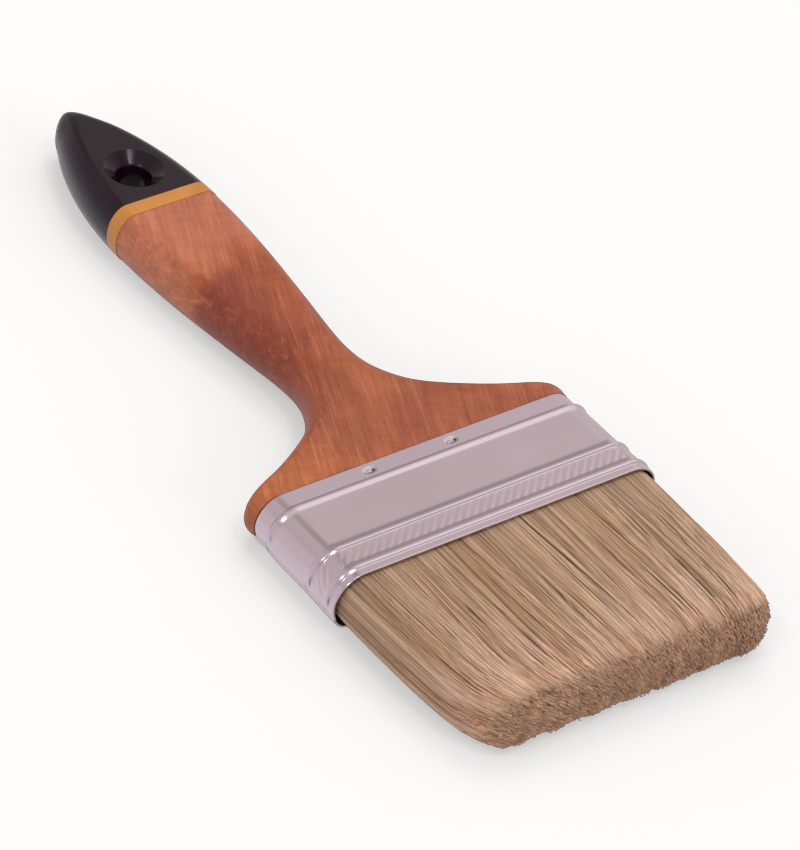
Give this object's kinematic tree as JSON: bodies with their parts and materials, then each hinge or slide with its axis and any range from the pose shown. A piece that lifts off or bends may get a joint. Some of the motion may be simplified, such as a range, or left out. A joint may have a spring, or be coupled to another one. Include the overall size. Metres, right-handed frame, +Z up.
{
  "type": "paint brush",
  "caption": "Flat wall paint brush: bristles set in a beaded steel ferrule, nailed to a waisted wooden handle with a lacquered tip and a hanging hole.",
  "frame": {"origin": "under the middle of the whole brush, on the surface it lies on", "axes": "+X across the width, +Y along the brush toward the handle's tip, +Z up through the thickness, with the brush lying on its back face"},
  "size_m": [0.1014, 0.248, 0.0173],
  "materials": {
    "varnished_wood": "reddish-brown stain under a satin clear varnish",
    "ochre_lacquer": "ochre gloss lacquer film",
    "black_lacquer": "black gloss dipped lacquer film",
    "plated_steel": "bright tin-plated steel strip",
    "nail_steel": "bright steel",
    "raw_wood": "unfinished softwood",
    "cured_epoxy": "amber cured resin",
    "natural_bristle": "light natural hog bristle, slightly glossy filaments, flagged darker tips"
  },
  "bodies": {
    "brush": {"handle": "varnished_wood", "handle_ring_lacquer": "ochre_lacquer", "handle_tip_lacquer": "black_lacquer", "ferrule": "plated_steel", "ferrule_nails": "nail_steel", "spacer_plug": "raw_wood", "epoxy_setting": "cured_epoxy", "bristle_roots_front": "natural_bristle", "bristle_roots_back": "natural_bristle"},
    "bristle_tuft": {"bristles_front": "natural_bristle", "bristles_back": "natural_bristle"}
  },
  "joints": [
    {"name": "bristle_bend", "type": "hinge", "parent": "brush", "child": "bristle_tuft", "pos_m": [0, -0.0705, 0.00865], "axis": [1, 0, 0], "range_deg": [-30, 30], "stiffness_Nm_per_rad": 0.6}
  ]
}
